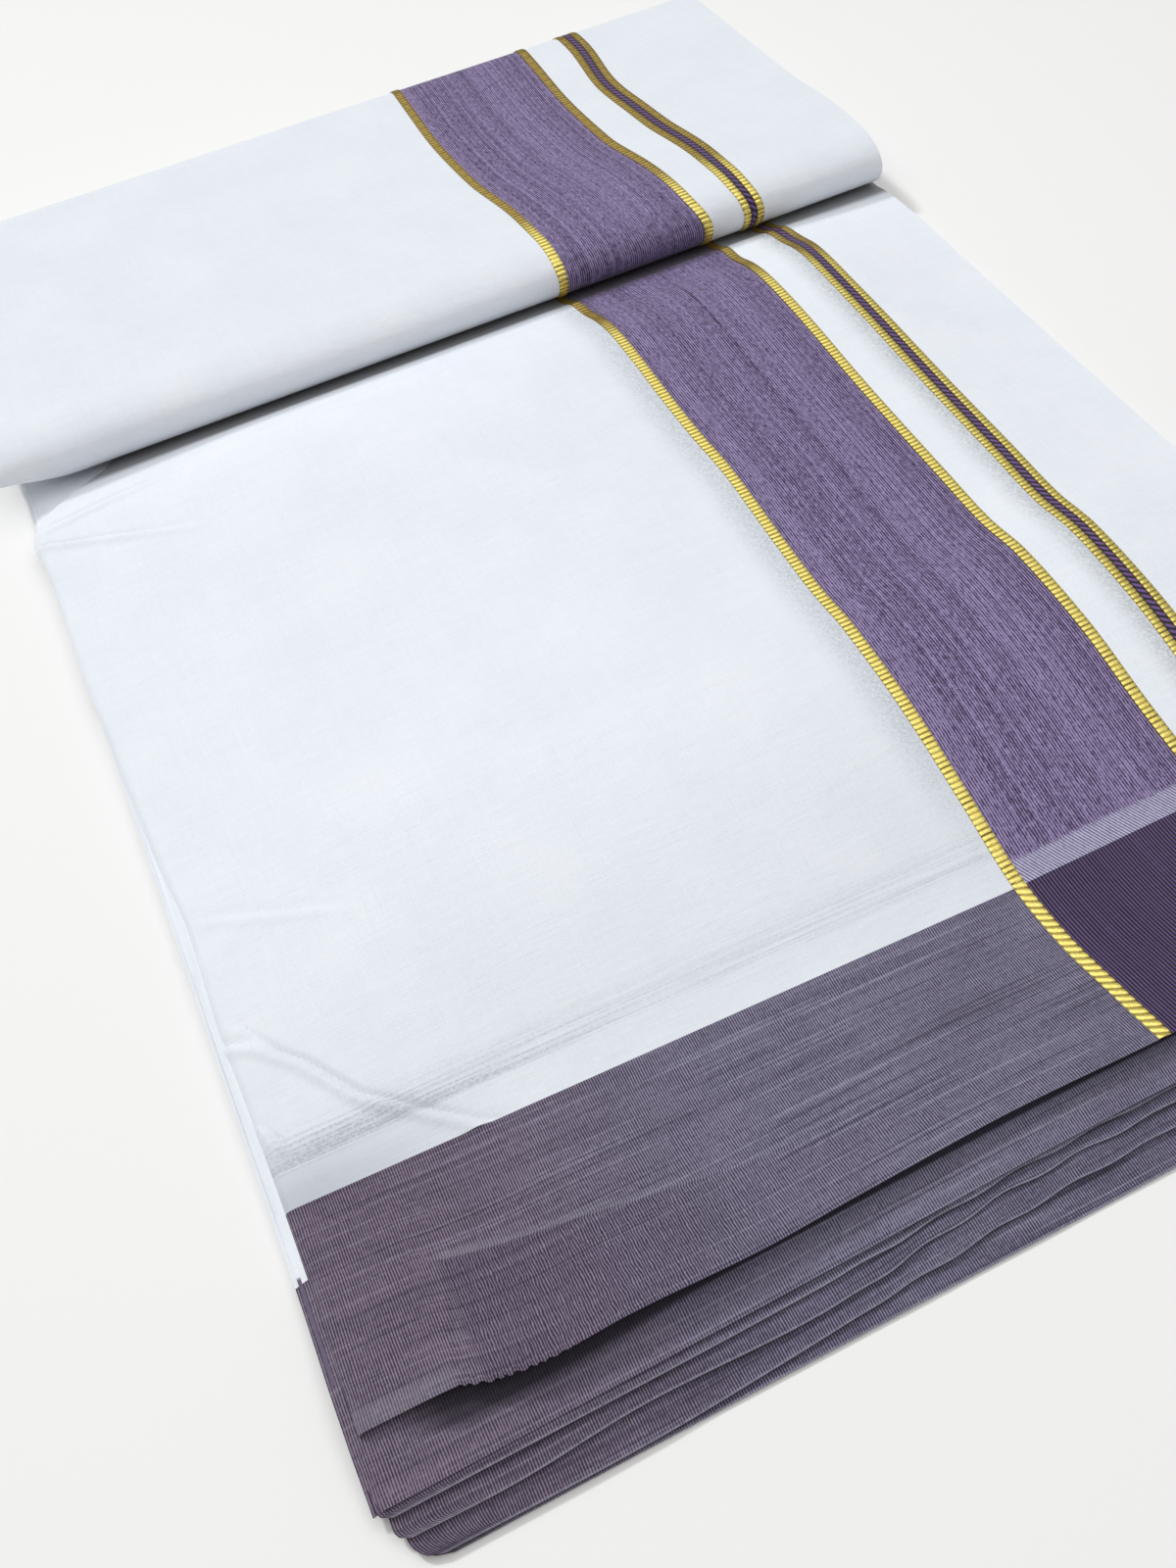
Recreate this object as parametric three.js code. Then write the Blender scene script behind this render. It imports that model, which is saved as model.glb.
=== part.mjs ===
import * as THREE from 'three';

// A double dhoti of white cotton with woven borders, folded for a shop. The cloth is quartered
// across its width and doubled along its length, so the strip is eight layers deep. Its far part
// is folded up in flat turns into a pack, which lies on the strip's own end, and the cut ends of
// the layers fan out at the near end. It lies loose, so one layer and the air by it is a wall of
// 1 mm here, and the layers that never show are two rounded solids.
//
// X runs across the cloth, Y along it from the cut ends to the pack, and Z up. The origin is on
// the floor under the middle of the whole. All sizes are in millimetres.

// Driving dimensions
const PANEL_WIDTH = 320; // the cloth's 1280 mm folded in four
const LEFT_EDGE = -155; // X of the strip's left edge
const OVERHANG = 1; // how far the lower layers stand out past the strip's right edge
const WALL = 1; // a layer that shows
const GAP = 0.3; // air between pieces that face each other
const LAYER_GAP = 0.5; // air between the curved faces of the upper layers
const OPEN_END = -219; // Y of the open sheet's cut end
const BORDER = 50; // length of the woven border across that end
const UNDER_PACK = 128; // Y where the open sheet ends, out of sight
const PACK_LEFT = -159; // X of the pack's ends, at its front
const PACK_RIGHT = 164;
const PACK_FRONT = 98; // Y of the front fold
const PACK_BACK = 242; // Y of the back fold
const PACK_TOP = 23; // height of the pack over the floor
const PACK_UNDERSIDE = 5.8; // height of the front fold's underside, which lies on the strip
const PACK_SKEW = { back: -7, pivot: 103, easing: 30 }; // X shift at the back fold, Y it turns about

const COLOURS = {
  cotton: { color: 0xe9edf3, roughness: 0.9, metalness: 0 },
  mauve: { color: 0x796a8e, roughness: 0.85, metalness: 0 },
  border: { color: 0x6c6374, roughness: 0.88, metalness: 0 },
  plum: { color: 0x45335c, roughness: 0.82, metalness: 0 },
  zari: { color: 0xc9b045, roughness: 0.4, metalness: 0.8 },
  hidden: { color: 0xdfe2e8, roughness: 0.92, metalness: 0 },
};

// The woven zones across the open sheet, from its left edge, and across the pack's outer turn,
// from its left end. The pack shows the other side of the cloth, so its zones differ a little.
const OPEN_ZONES = [
  { name: 'field', from: 0, to: 191.9, columns: 10, finish: 'cotton' },
  { name: 'zari_left', from: 191.9, to: 195.3, columns: 1, finish: 'zari' },
  { name: 'band', from: 195.3, to: 250.3, columns: 3, finish: 'mauve' },
  { name: 'zari_right', from: 250.3, to: 253.7, columns: 1, finish: 'zari' },
  { name: 'gap', from: 253.7, to: 267, columns: 1, finish: 'cotton' },
  { name: 'stripe_zari_left', from: 267, to: 269.6, columns: 1, finish: 'zari' },
  { name: 'stripe_cord', from: 269.6, to: 272.4, columns: 1, finish: 'plum' },
  { name: 'stripe_zari_right', from: 272.4, to: 275, columns: 1, finish: 'zari' },
  { name: 'margin', from: 275, to: PANEL_WIDTH, columns: 4, finish: 'cotton' },
];
const PACK_ZONES = [
  { name: 'field', from: 0, to: 195.6, columns: 4, finish: 'cotton' },
  { name: 'zari_left', from: 195.6, to: 199, columns: 1, finish: 'zari' },
  { name: 'band', from: 199, to: 251.4, columns: 2, finish: 'mauve' },
  { name: 'zari_right', from: 251.4, to: 254.8, columns: 1, finish: 'zari' },
  { name: 'gap', from: 254.8, to: 267.2, columns: 1, finish: 'cotton' },
  { name: 'stripe_zari_left', from: 267.2, to: 269.8, columns: 1, finish: 'zari' },
  { name: 'stripe_cord', from: 269.8, to: 272.4, columns: 1, finish: 'plum' },
  { name: 'stripe_zari_right', from: 272.4, to: 275, columns: 1, finish: 'zari' },
  { name: 'margin', from: 275, to: PACK_RIGHT - PACK_LEFT, columns: 2, finish: 'cotton' },
];
// What the border across the cut end turns each plain zone into. The zari and the narrow stripe
// run on through it.
const END_ZONES = { field: 'border', band: 'plum', gap: 'border', margin: 'border' };

// The open sheet by distance along it: how far its left edge, the band's left and the band's
// right lines lie to the right of straight, and the height of its face at the sides and between.
const STRIP = [
  { y: -220, left: 3.6, band: 2.1, stripe: 0, side: 8.6, middle: 10.4 },
  { y: -204, left: 3.8, band: 1, stripe: 0, side: 7.8, middle: 7.9 },
  { y: -187, left: 4, band: -0.5, stripe: -0.6, side: 6, middle: 5.8 },
  { y: -168, left: 4.1, band: -0.6, stripe: -1.4, side: 5.8, middle: 5.2 },
  { y: -142, left: 4, band: 1.6, stripe: -0.8, side: 6.6, middle: 8.2 },
  { y: -112, left: 3.6, band: 3.4, stripe: 0.4, side: 7, middle: 11.4 },
  { y: -82, left: 4.4, band: 4, stripe: 1, side: 7, middle: 12.6 },
  { y: -42, left: 2.2, band: 3.4, stripe: 0.2, side: 7, middle: 11.6 },
  { y: 10, left: 0.2, band: 3.8, stripe: 1, side: 7, middle: 12.4 },
  { y: 50, left: 0.3, band: 5, stripe: 2, side: 7.2, middle: 14 },
  { y: 66, left: 0, band: 4.8, stripe: 2, side: 7.5, middle: 13.6 },
  { y: 76, left: -1.2, band: 4, stripe: 2, side: 7.4, middle: 12 },
  { y: 86, left: 3.2, band: 2.6, stripe: 1.6, side: 6.9, middle: 8.9 },
  { y: 94, left: 14, band: 1.4, stripe: 1, side: 6.2, middle: 6.6 },
  { y: 103, left: 28, band: 0.2, stripe: 0.2, side: 5.5, middle: 5.5 },
  { y: UNDER_PACK, left: 44, band: 0, stripe: 0, side: 5.5, middle: 5.5 },
];
const CROWN = { left: 90, right: 60 }; // how far in from each side the face rises
// The cut end and the end border's line lie a little out of square towards the left edge
const END_SLANT = { rise: 3, reach: 40 };
const BORDER_SLANT = { rise: 4.7, reach: 190, fade: 60 };

// Stations along the open sheet, measured from its cut end
const END_STATIONS = [0, 12, 25, 38, BORDER];
const STRIP_STATIONS = [
  BORDER, 62, 78, 100, 126, 156, 190, 222, 248, 264, 277, 288, 297, 305, 313, 322, 347,
];

const mix = (from, to, t) => from + (to - from) * t;
const ease = (t) => {
  const held = Math.min(Math.max(t, 0), 1);
  return held * held * (3 - 2 * held);
};

// A column of a table at a distance along Y, as a smooth curve through its rows
function along(rows, column, y) {
  const last = rows.length - 1;
  if (y <= rows[0].y) return rows[0][column];
  if (y >= rows[last].y) return rows[last][column];
  const i = rows.findIndex((row) => row.y > y) - 1;
  const slope = (k) => {
    const before = rows[Math.max(k - 1, 0)];
    const after = rows[Math.min(k + 1, last)];
    return (after[column] - before[column]) / (after.y - before.y);
  };
  const step = rows[i + 1].y - rows[i].y;
  const t = (y - rows[i].y) / step;
  return (
    mix(rows[i][column], rows[i + 1][column], t * t * (3 - 2 * t)) +
    step * t * (1 - t) * ((1 - t) * slope(i) - t * slope(i + 1))
  );
}

function mesh(name, finish, positions, index) {
  const geometry = new THREE.BufferGeometry();
  geometry.setAttribute('position', new THREE.Float32BufferAttribute(positions, 3));
  geometry.setIndex(index);
  geometry.computeVertexNormals();
  const piece = new THREE.Mesh(geometry, new THREE.MeshStandardMaterial(COLOURS[finish]));
  piece.name = name;
  return piece;
}

// A wall of cloth. outer and inner give the points of its two faces at a column and a row, with
// the outer face up where columns run along +X and rows along +Y.
function wall(name, finish, columns, rows, outer, inner) {
  const positions = [];
  const index = [];
  for (const face of [outer, inner]) {
    for (const row of rows) {
      for (const column of columns) positions.push(...face(column, row));
    }
  }
  const at = (side, c, r) => (side * rows.length + r) * columns.length + c;
  const quad = (a, b, c, d) => index.push(a, b, c, a, c, d);
  const lastColumn = columns.length - 1;
  const lastRow = rows.length - 1;
  for (let c = 0; c < lastColumn; c += 1) {
    for (let r = 0; r < lastRow; r += 1) {
      quad(at(0, c, r), at(0, c + 1, r), at(0, c + 1, r + 1), at(0, c, r + 1));
      quad(at(1, c, r), at(1, c, r + 1), at(1, c + 1, r + 1), at(1, c + 1, r));
    }
    quad(at(0, c, 0), at(1, c, 0), at(1, c + 1, 0), at(0, c + 1, 0));
    quad(at(0, c, lastRow), at(0, c + 1, lastRow), at(1, c + 1, lastRow), at(1, c, lastRow));
  }
  for (let r = 0; r < lastRow; r += 1) {
    quad(at(0, 0, r), at(0, 0, r + 1), at(1, 0, r + 1), at(1, 0, r));
    quad(at(0, lastColumn, r), at(1, lastColumn, r), at(1, lastColumn, r + 1),
      at(0, lastColumn, r + 1));
  }
  return mesh(name, finish, positions, index);
}

// A solid through closed sections of equal point counts. Each section runs anticlockwise when
// seen from the side that the next section lies on.
function loft(name, finish, sections, flat) {
  const count = sections[0].length;
  const index = [];
  const quad = (a, b, c, d) => index.push(a, b, c, a, c, d);
  for (let s = 0; s + 1 < sections.length; s += 1) {
    for (let i = 0; i < count; i += 1) {
      const next = (i + 1) % count;
      quad(s * count + i, s * count + next, (s + 1) * count + next, (s + 1) * count + i);
    }
  }
  const cap = (section) => THREE.ShapeUtils.triangulateShape(section.map(flat), []);
  for (const [a, b, c] of cap(sections[0])) index.push(a, c, b);
  const top = (sections.length - 1) * count;
  for (const [a, b, c] of cap(sections[sections.length - 1])) index.push(top + a, top + b, top + c);
  return mesh(name, finish, sections.flat(2), index);
}

const steps = (from, to, count) =>
  Array.from({ length: count + 1 }, (_, i) => mix(from, to, i / count));

// Open sheet: the top layer of the strip, woven zone by woven zone

const openHeight = (x, y) => {
  const fromLeft = ease((x - LEFT_EDGE) / CROWN.left);
  const fromRight = ease((LEFT_EDGE + PANEL_WIDTH - x) / CROWN.right);
  return mix(along(STRIP, 'side', y), along(STRIP, 'middle', y), fromLeft * fromRight);
};

// Y of the point at a distance from the cut end
function openY(across, distance) {
  const endRise = END_SLANT.rise * (1 - ease(across / END_SLANT.reach));
  const borderRise = BORDER_SLANT.rise * (1 - Math.min(across / BORDER_SLANT.reach, 1));
  if (distance < BORDER) return OPEN_END + distance + mix(endRise, borderRise, distance / BORDER);
  return OPEN_END + distance + borderRise * (1 - ease((distance - BORDER) / BORDER_SLANT.fade));
}

function openX(across, y) {
  const left = along(STRIP, 'left', y);
  const band = along(STRIP, 'band', y);
  const stripe = along(STRIP, 'stripe', y);
  const bandLeft = OPEN_ZONES[1].from;
  const bandRight = OPEN_ZONES[3].to;
  const margin = OPEN_ZONES[8].from;
  if (across < bandLeft) return LEFT_EDGE + across + mix(left, band, across / bandLeft);
  if (across < bandRight) {
    return LEFT_EDGE + across + mix(band, stripe, (across - bandLeft) / (bandRight - bandLeft));
  }
  return LEFT_EDGE + across + stripe * (1 - ease((across - margin) / (PANEL_WIDTH - margin)));
}

function openFace(across, distance) {
  const y = openY(across, distance);
  const x = openX(across, y);
  return [x, y, openHeight(x, y)];
}

function openWall(name, finish, zone, stations) {
  const columns = steps(zone.from + GAP / 2, zone.to - GAP / 2, zone.columns);
  const under = (across, distance) => {
    const [x, y, z] = openFace(across, distance);
    return [x, y, z - WALL];
  };
  return wall(name, finish, columns, stations, openFace, under);
}

function openSheet() {
  const sheet = new THREE.Group();
  const inEnd = END_STATIONS.map((d) => (d === BORDER ? BORDER - GAP / 2 : d));
  const inStrip = STRIP_STATIONS.map((d) => (d === BORDER ? BORDER + GAP / 2 : d));
  for (const zone of OPEN_ZONES) {
    const end = END_ZONES[zone.name];
    if (end) {
      sheet.add(openWall(`open_end_${zone.name}`, end, zone, inEnd));
      sheet.add(openWall(`open_${zone.name}`, zone.finish, zone, inStrip));
    } else {
      const whole = [...END_STATIONS, ...STRIP_STATIONS.slice(1)];
      sheet.add(openWall(`open_${zone.name}`, zone.finish, zone, whole));
    }
  }
  return sheet;
}

// Second sheet: it shows in slivers at the left edge, in the corner by the pack, and past the
// open sheet's cut end, where its own end border starts

const SECOND = { left: LEFT_EDGE + 0.8, right: LEFT_EDGE + PANEL_WIDTH + OVERHANG, end: -230 };
const SECOND_BORDER = SECOND.end + BORDER;
const LIFTED_FROM = -204; // Y where the open sheet starts to lift off the sheet below
const IN_BORDER = -192; // Y of one more station within the second sheet's border
const SIDE_COLUMNS = 5;
const MIDDLE_COLUMNS = 6;

const secondHeight = (x, y) => openHeight(x, Math.max(y, LIFTED_FROM)) - WALL - LAYER_GAP;

const layerColumns = (left, right) => [
  ...steps(left, left + CROWN.left, SIDE_COLUMNS),
  ...steps(left + CROWN.left, right - CROWN.right, MIDDLE_COLUMNS).slice(1, -1),
  ...steps(right - CROWN.right, right, SIDE_COLUMNS),
];

function secondSheet() {
  const columns = layerColumns(SECOND.left, SECOND.right);
  const top = (x, y) => [x, y, secondHeight(x, y)];
  const under = (x, y) => [x, y, secondHeight(x, y) - WALL];
  const ys = STRIP_STATIONS.map((distance) => OPEN_END + distance);
  const inBorder = [...steps(SECOND.end, LIFTED_FROM, 3), IN_BORDER, SECOND_BORDER - GAP / 2];
  const inField = [SECOND_BORDER + GAP / 2, ...ys];
  const sheet = new THREE.Group();
  sheet.add(wall('second_end_border', 'border', columns, inBorder, top, under));
  sheet.add(wall('second_field', 'cotton', columns, inField, top, under));
  return sheet;
}

// Leaf ends: the lower layers past the hidden solid, each a flat wall with rounded near corners

const LEAVES = [
  { name: 'leaf_3', bottom: 3.9, end: -232.5, slant: 1.5, left: 1.6, corner: 3 },
  { name: 'leaf_4', bottom: 2.6, end: -236.5, slant: 2, left: 3.6, corner: 3 },
  { name: 'leaf_5', bottom: 1.3, end: -240.5, slant: 5, left: 5.4, corner: 6 },
  { name: 'leaf_6', bottom: 0, end: -242, slant: 1, left: 6, corner: 7 },
];
const LEAF_BACK = LIFTED_FROM;

function leafEnd(leaf) {
  const left = LEFT_EDGE + leaf.left;
  const right = LEFT_EDGE + PANEL_WIDTH + OVERHANG;
  const shape = new THREE.Shape();
  shape.moveTo(left, LEAF_BACK);
  shape.lineTo(left, leaf.end + leaf.corner);
  shape.absarc(left + leaf.corner, leaf.end + leaf.corner, leaf.corner, Math.PI, 1.5 * Math.PI);
  shape.lineTo(right - leaf.corner, leaf.end + leaf.slant);
  shape.lineTo(right, leaf.end + leaf.slant + leaf.corner);
  shape.lineTo(right, LEAF_BACK);
  const settings = { depth: WALL, bevelEnabled: false, curveSegments: 4 };
  const geometry = new THREE.ExtrudeGeometry(shape, settings);
  const piece = new THREE.Mesh(geometry, new THREE.MeshStandardMaterial(COLOURS.border));
  piece.name = leaf.name;
  piece.position.z = leaf.bottom;
  return piece;
}

// Hidden layers of the strip: one solid on the floor, with its sides in rounded lips, and a tail
// that turns up inside the pack's back fold

const LIPS = 3; // folded edges that the sides show
const LIP_DEPTH = 0.9;
const LIP_FACE = [0.25, 0.75]; // shares of a lip's height between which its face is flat
const LIP_WANDER = { reach: 0.5, step: 2.1, length: 40 }; // how the lips lie in and out
const PHASE = { left: 1.3, right: 0 };
const STRIP_CORE = { left: LEFT_EDGE + 1.8, right: LEFT_EDGE + PANEL_WIDTH + 0.6 };
const BACK_FOLD = { y: 230.5, z: PACK_TOP / 2 }; // centre of the pack's back fold
const FLOOR_LAP = 222; // Y where the outer turn leaves the floor's middle for the back fold
const UNDER_TURNS = PACK_UNDERSIDE + WALL; // top of the strip where it carries the hidden turns
const TAIL = [155, 190, FLOOR_LAP - 2 * GAP, FLOOR_LAP - GAP, BACK_FOLD.y, 235, 238, 239.4];

function coreTop(x, y) {
  if (y > UNDER_PACK + GAP) return UNDER_TURNS;
  return secondHeight(x, y) - WALL - LAYER_GAP;
}

function coreBottom(y) {
  if (y < FLOOR_LAP - GAP) return 0;
  const radius = BACK_FOLD.z - WALL - GAP;
  const beyond = Math.max(y - BACK_FOLD.y, 0);
  return BACK_FOLD.z - Math.sqrt(radius * radius - beyond * beyond);
}

function packShift(y) {
  const { back, pivot, easing } = PACK_SKEW;
  const share = Math.min((y - pivot) / (PACK_BACK - pivot), 1);
  return back * share * ease((y - UNDER_PACK) / easing);
}

function coreSection(y) {
  const left = STRIP_CORE.left + packShift(y);
  const right = STRIP_CORE.right + packShift(y);
  const bottom = coreBottom(y);
  const side = (edge, inward, top, phase) => {
    const points = [[edge + inward * LIP_DEPTH, y, bottom]];
    for (let lip = 0; lip < LIPS; lip += 1) {
      const { reach, step, length } = LIP_WANDER;
      const wander = inward * reach * (1 + Math.sin(phase + step * lip + y / length));
      const rise = (share) => mix(bottom, top, (lip + share) / LIPS);
      for (const share of LIP_FACE) points.push([edge + wander, y, rise(share)]);
      points.push([edge + inward * LIP_DEPTH, y, rise(1)]);
    }
    return points;
  };
  const inner = layerColumns(left + LIP_DEPTH, right - LIP_DEPTH).slice(1, -1);
  const top = inner.map((x) => [x, y, coreTop(x, y)]);
  return [
    ...side(left, 1, coreTop(left, y), PHASE.left),
    ...top,
    ...side(right, -1, coreTop(right, y), PHASE.right).reverse(),
  ];
}

function stripCore() {
  const shown = STRIP_STATIONS.map((distance) => OPEN_END + distance);
  const near = [LEAF_BACK + GAP, IN_BORDER, SECOND_BORDER];
  const ys = [...near, ...shown, UNDER_PACK + GAP, UNDER_PACK + 2 * GAP, ...TAIL];
  const sections = ys.map(coreSection);
  return loft('hidden_strip_layers', 'hidden', sections, ([x, , z]) => new THREE.Vector2(-x, z));
}

// The pack: its outer turn, woven zone by woven zone, over one solid for the turns inside

const FRONT_FOLD = { upper: 115, lower: 107, z: PACK_TOP - 8.5 }; // Y of the two arcs' centres
const FOLD_STEPS = { lower: 4, upper: 5, back: 8 };
const TOP_SAG = [
  { y: 145, drop: 0.4 },
  { y: 175, drop: 0.6 },
  { y: 205, drop: 0.3 },
];

function arc(y, z, alongY, alongZ, from, to, count) {
  return steps(from, to, count).map((angle) => ({
    y: y + alongY * Math.cos(angle),
    z: z + alongZ * Math.sin(angle),
  }));
}

// One turn round the pack, from under its front fold, over the top and round the back fold,
// as far inside the outer face as inset says
function turn(inset, backEnd) {
  const { upper, lower, z } = FRONT_FOLD;
  const back = BACK_FOLD.z - inset;
  return [
    ...arc(lower, z, lower - PACK_FRONT - inset, z - PACK_UNDERSIDE - inset, 1.5 * Math.PI,
      Math.PI, FOLD_STEPS.lower),
    ...arc(upper, z, upper - PACK_FRONT - inset, PACK_TOP - z - inset, Math.PI, 0.5 * Math.PI,
      FOLD_STEPS.upper).slice(1),
    ...TOP_SAG.map((row) => ({ y: row.y, z: PACK_TOP - inset - row.drop })),
    ...arc(BACK_FOLD.y, BACK_FOLD.z, back, back, 0.5 * Math.PI, backEnd, FOLD_STEPS.back),
  ];
}

function wrapTurn(inset) {
  return [
    { y: UNDER_PACK, z: PACK_UNDERSIDE + inset },
    ...turn(inset, -0.5 * Math.PI),
    { y: FLOOR_LAP, z: inset },
  ];
}

function packWrap() {
  const outer = wrapTurn(0);
  const inner = wrapTurn(WALL);
  const rows = outer.map((_, i) => i);
  const on = (face) => (across, row) => {
    const { y, z } = face[row];
    return [PACK_LEFT + across + packShift(y), y, z];
  };
  const wrap = new THREE.Group();
  for (const zone of PACK_ZONES) {
    const columns = steps(zone.from + GAP / 2, zone.to - GAP / 2, zone.columns);
    wrap.add(wall(`pack_${zone.name}`, zone.finish, columns, rows, on(outer), on(inner)));
  }
  return wrap;
}

// The ends of the hidden turns, in terraces, as nested folds show
const END_TERRACES = [
  { out: 0.6, inset: 4.6 },
  { out: 1.4, inset: 4.2 },
  { out: 1.6, inset: 2.6 },
  { out: 2.4, inset: 2.2 },
  { out: 2.6, inset: 0.6 },
  { out: 4, inset: 0 },
];

function packCore() {
  const section = (x, inset) => {
    const within = WALL + GAP + inset;
    const bottom = PACK_UNDERSIDE + within;
    const backEnd = Math.asin((bottom - BACK_FOLD.z) / (BACK_FOLD.z - within));
    return turn(within, backEnd).map(({ y, z }) => [x + packShift(y), y, z]);
  };
  const left = END_TERRACES.map((row) => section(PACK_LEFT + row.out, row.inset));
  const right = END_TERRACES.map((row) => section(PACK_RIGHT - row.out, row.inset)).reverse();
  const sections = [...left, ...right].map((points) => points.reverse());
  return loft('hidden_pack_turns', 'hidden', sections, ([, y, z]) => new THREE.Vector2(y, z));
}

const dhoti = new THREE.Group();
dhoti.add(openSheet(), secondSheet(), stripCore(), ...LEAVES.map(leafEnd));
dhoti.add(packWrap(), packCore());

export default dhoti;
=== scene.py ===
import bpy
import numpy as np
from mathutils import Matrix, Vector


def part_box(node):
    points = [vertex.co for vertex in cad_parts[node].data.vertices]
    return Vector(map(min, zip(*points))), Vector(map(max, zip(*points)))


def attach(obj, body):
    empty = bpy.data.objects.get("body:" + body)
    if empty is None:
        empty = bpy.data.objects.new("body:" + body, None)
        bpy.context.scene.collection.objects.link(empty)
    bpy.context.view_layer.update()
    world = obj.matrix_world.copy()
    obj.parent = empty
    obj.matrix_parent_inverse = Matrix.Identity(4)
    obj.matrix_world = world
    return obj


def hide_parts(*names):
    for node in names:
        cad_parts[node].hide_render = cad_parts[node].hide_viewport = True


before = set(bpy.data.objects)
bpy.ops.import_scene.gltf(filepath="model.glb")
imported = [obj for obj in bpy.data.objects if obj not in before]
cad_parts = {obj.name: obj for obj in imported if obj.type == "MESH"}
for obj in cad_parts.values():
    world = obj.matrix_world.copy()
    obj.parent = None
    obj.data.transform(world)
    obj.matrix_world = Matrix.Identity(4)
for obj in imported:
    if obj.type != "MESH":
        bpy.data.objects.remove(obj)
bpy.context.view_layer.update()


# Camera: it stands over the near left corner and looks down the strip to the pack, with the
# frame's right side cutting across the cloth.

bpy.ops.object.select_all(action="DESELECT")
bpy.ops.object.camera_add(
    location=(-0.11133, -0.30484, 0.3144),
    rotation=np.radians((35.78, 5.16, -25.09)),
)
camera = bpy.context.object
camera.data.lens = 33.3
camera.data.sensor_width = 36
bpy.context.scene.camera = camera


# Studio: a pale floor, a wide soft box overhead, and a smaller one high at the back left, far
# enough off to shape the folds. The room beyond is dim and warm, which the gold thread shows.

bpy.ops.mesh.primitive_plane_add(size=8, location=(0, 0, 0))
floor = bpy.context.object
floor.name = "floor"
paint = bpy.data.materials.new("floor_paint")
paint.use_nodes = True
coat = paint.node_tree.nodes["Principled BSDF"]
coat.inputs["Base Color"].default_value = (0.9, 0.888, 0.873, 1)
coat.inputs["Roughness"].default_value = 0.9
floor.data.materials.append(paint)

LAMP_COLOUR = (0.955, 0.98, 1)

bpy.ops.object.light_add(type="AREA", location=(0, -0.05, 1))
soft_box = bpy.context.object
soft_box.data.shape = "RECTANGLE"
soft_box.data.size = 1.6
soft_box.data.size_y = 1.6
soft_box.data.energy = 9
soft_box.data.color = LAMP_COLOUR

bpy.ops.object.light_add(type="AREA", location=(-1, 1.9, 2.4))
key = bpy.context.object
key.rotation_euler = np.radians((-38, -20, 0))
key.data.shape = "DISK"
key.data.size = 0.45
key.data.energy = 42
key.data.color = LAMP_COLOUR

room = bpy.data.worlds.new("room")
room.use_nodes = True
air = room.node_tree.nodes["Background"]
air.inputs["Color"].default_value = (1, 0.97, 0.93, 1)
air.inputs["Strength"].default_value = 0.25
bpy.context.scene.world = room
bpy.context.scene.view_settings.view_transform = "Standard"


# Open sheet, field: the top layer of the strip, plain white cotton from the folded left edge to
# the band. It bulges over the layers below, and creases run in from its fold. Distances are
# millimetres here: across from the left edge, and along from the cut end.

MM = 0.001
LEFT_EDGE = -155  # x of the strip's fold
WIDTH = 320  # a quarter of the cloth's
OPEN_END = -219  # y of the cut end
BORDER = 50  # length of the end border
OPEN_LENGTH = 347  # from the cut end to out of sight under the pack
LAYER = 0.25  # thickness of the cloth
THREAD = 0.4  # pitch of the white cotton's threads
SLUB = 18  # length of a thick or thin stretch of a thread
# Where the open sheet runs in under the pack, its colour is darkened as painted shade
CREVICE_SHADE = (312.5, 317)  # along the sheet, where it runs in under the pack
CROWN_LEFT, CROWN_RIGHT = 90, 60  # how far in from its sides the strip reaches its height
FOLD_REACH, FOLD_DROP = 2.5, 1.6  # how the fold rounds down along the left edge
SKEW, SKEW_WIDTH = 4.7, 190  # the weft runs askew at the border: how far up its left end lies
STRAIGHTENING = 60  # how far past the border it takes to run straight

BAND_LEFT, BAND_RIGHT = 191.9, 253.7
STRIPE_LEFT, STRIPE_RIGHT = 267, 275

# The strip by its y: how far its left edge, the band's sides and the stripe lie to the side of
# straight, and the height of its sides and of its middle
STRIP_COLUMNS = ("y", "left", "band", "band_right", "stripe", "side", "middle")
STRIP = [
    (-220, 3.6, 2.1, 0, 0, 8.6, 10.4),
    (-204, 3.8, 1, 0, 0, 7.8, 7.9),
    (-187, 4, -0.5, -0.6, -0.6, 6, 5.8),
    (-168, 4.1, -0.6, -1.4, -1.4, 5.8, 5.2),
    (-142, 4, 1, -1.4, -0.4, 6.6, 8.2),
    (-112, 3.6, 2.6, 0.3, 1.8, 7, 11.4),
    (-82, 4.4, 3.3, 0.7, 2.7, 7, 12.6),
    (-66, 3.3, 2.95, -0.5, 1.5, 7, 12.1),
    (-42, 2.2, 3.75, 0.15, 2.4, 7, 11.6),
    (-10, 1.2, 4.8, 0.55, 2.8, 7, 11.9),
    (10, 0.2, 3.85, 0.85, 3.1, 7, 12.4),
    (30, 0.2, 3.4, 1.25, 3.2, 7.1, 13.3),
    (50, 0.3, 3.45, 1.35, 3.1, 7.2, 14),
    (66, 0, 3.45, 1.4, 3.5, 7.5, 13.6),
    (76, -1.2, 3.1, 1.35, 4, 7.4, 12),
    (86, 3.2, 2.6, 1.3, 4.1, 6.9, 8.9),
    (94, 14, 1.4, 1, 3, 6.4, 8.2),
    (98, 21, 0.8, 0.6, 2.2, 5.8, 6.3),
    (103, 28, 0.2, 0.2, 1.5, 4.9, 4.9),
    (128, 44, 0, 0, 0, 4.6, 4.6),
]

# The cut end by distance across: how far in it is cut, and how far it has lifted
CUT_END_COLUMNS = ("across", "in", "up")
CUT_END = [
    (0, 3.4, 0),
    (22, 2.8, 1),
    (25, 1.6, 1.6),
    (30, 0, 2.2),
    (42, -1.4, 2.9),
    (60, -0.9, 2.6),
    (90, -1.3, 1.6),
    (113, -0.2, 1),
    (153, 1.2, 0.3),
    (193, 0.4, 0.6),
    (320, 0, 0.2),
]

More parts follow.
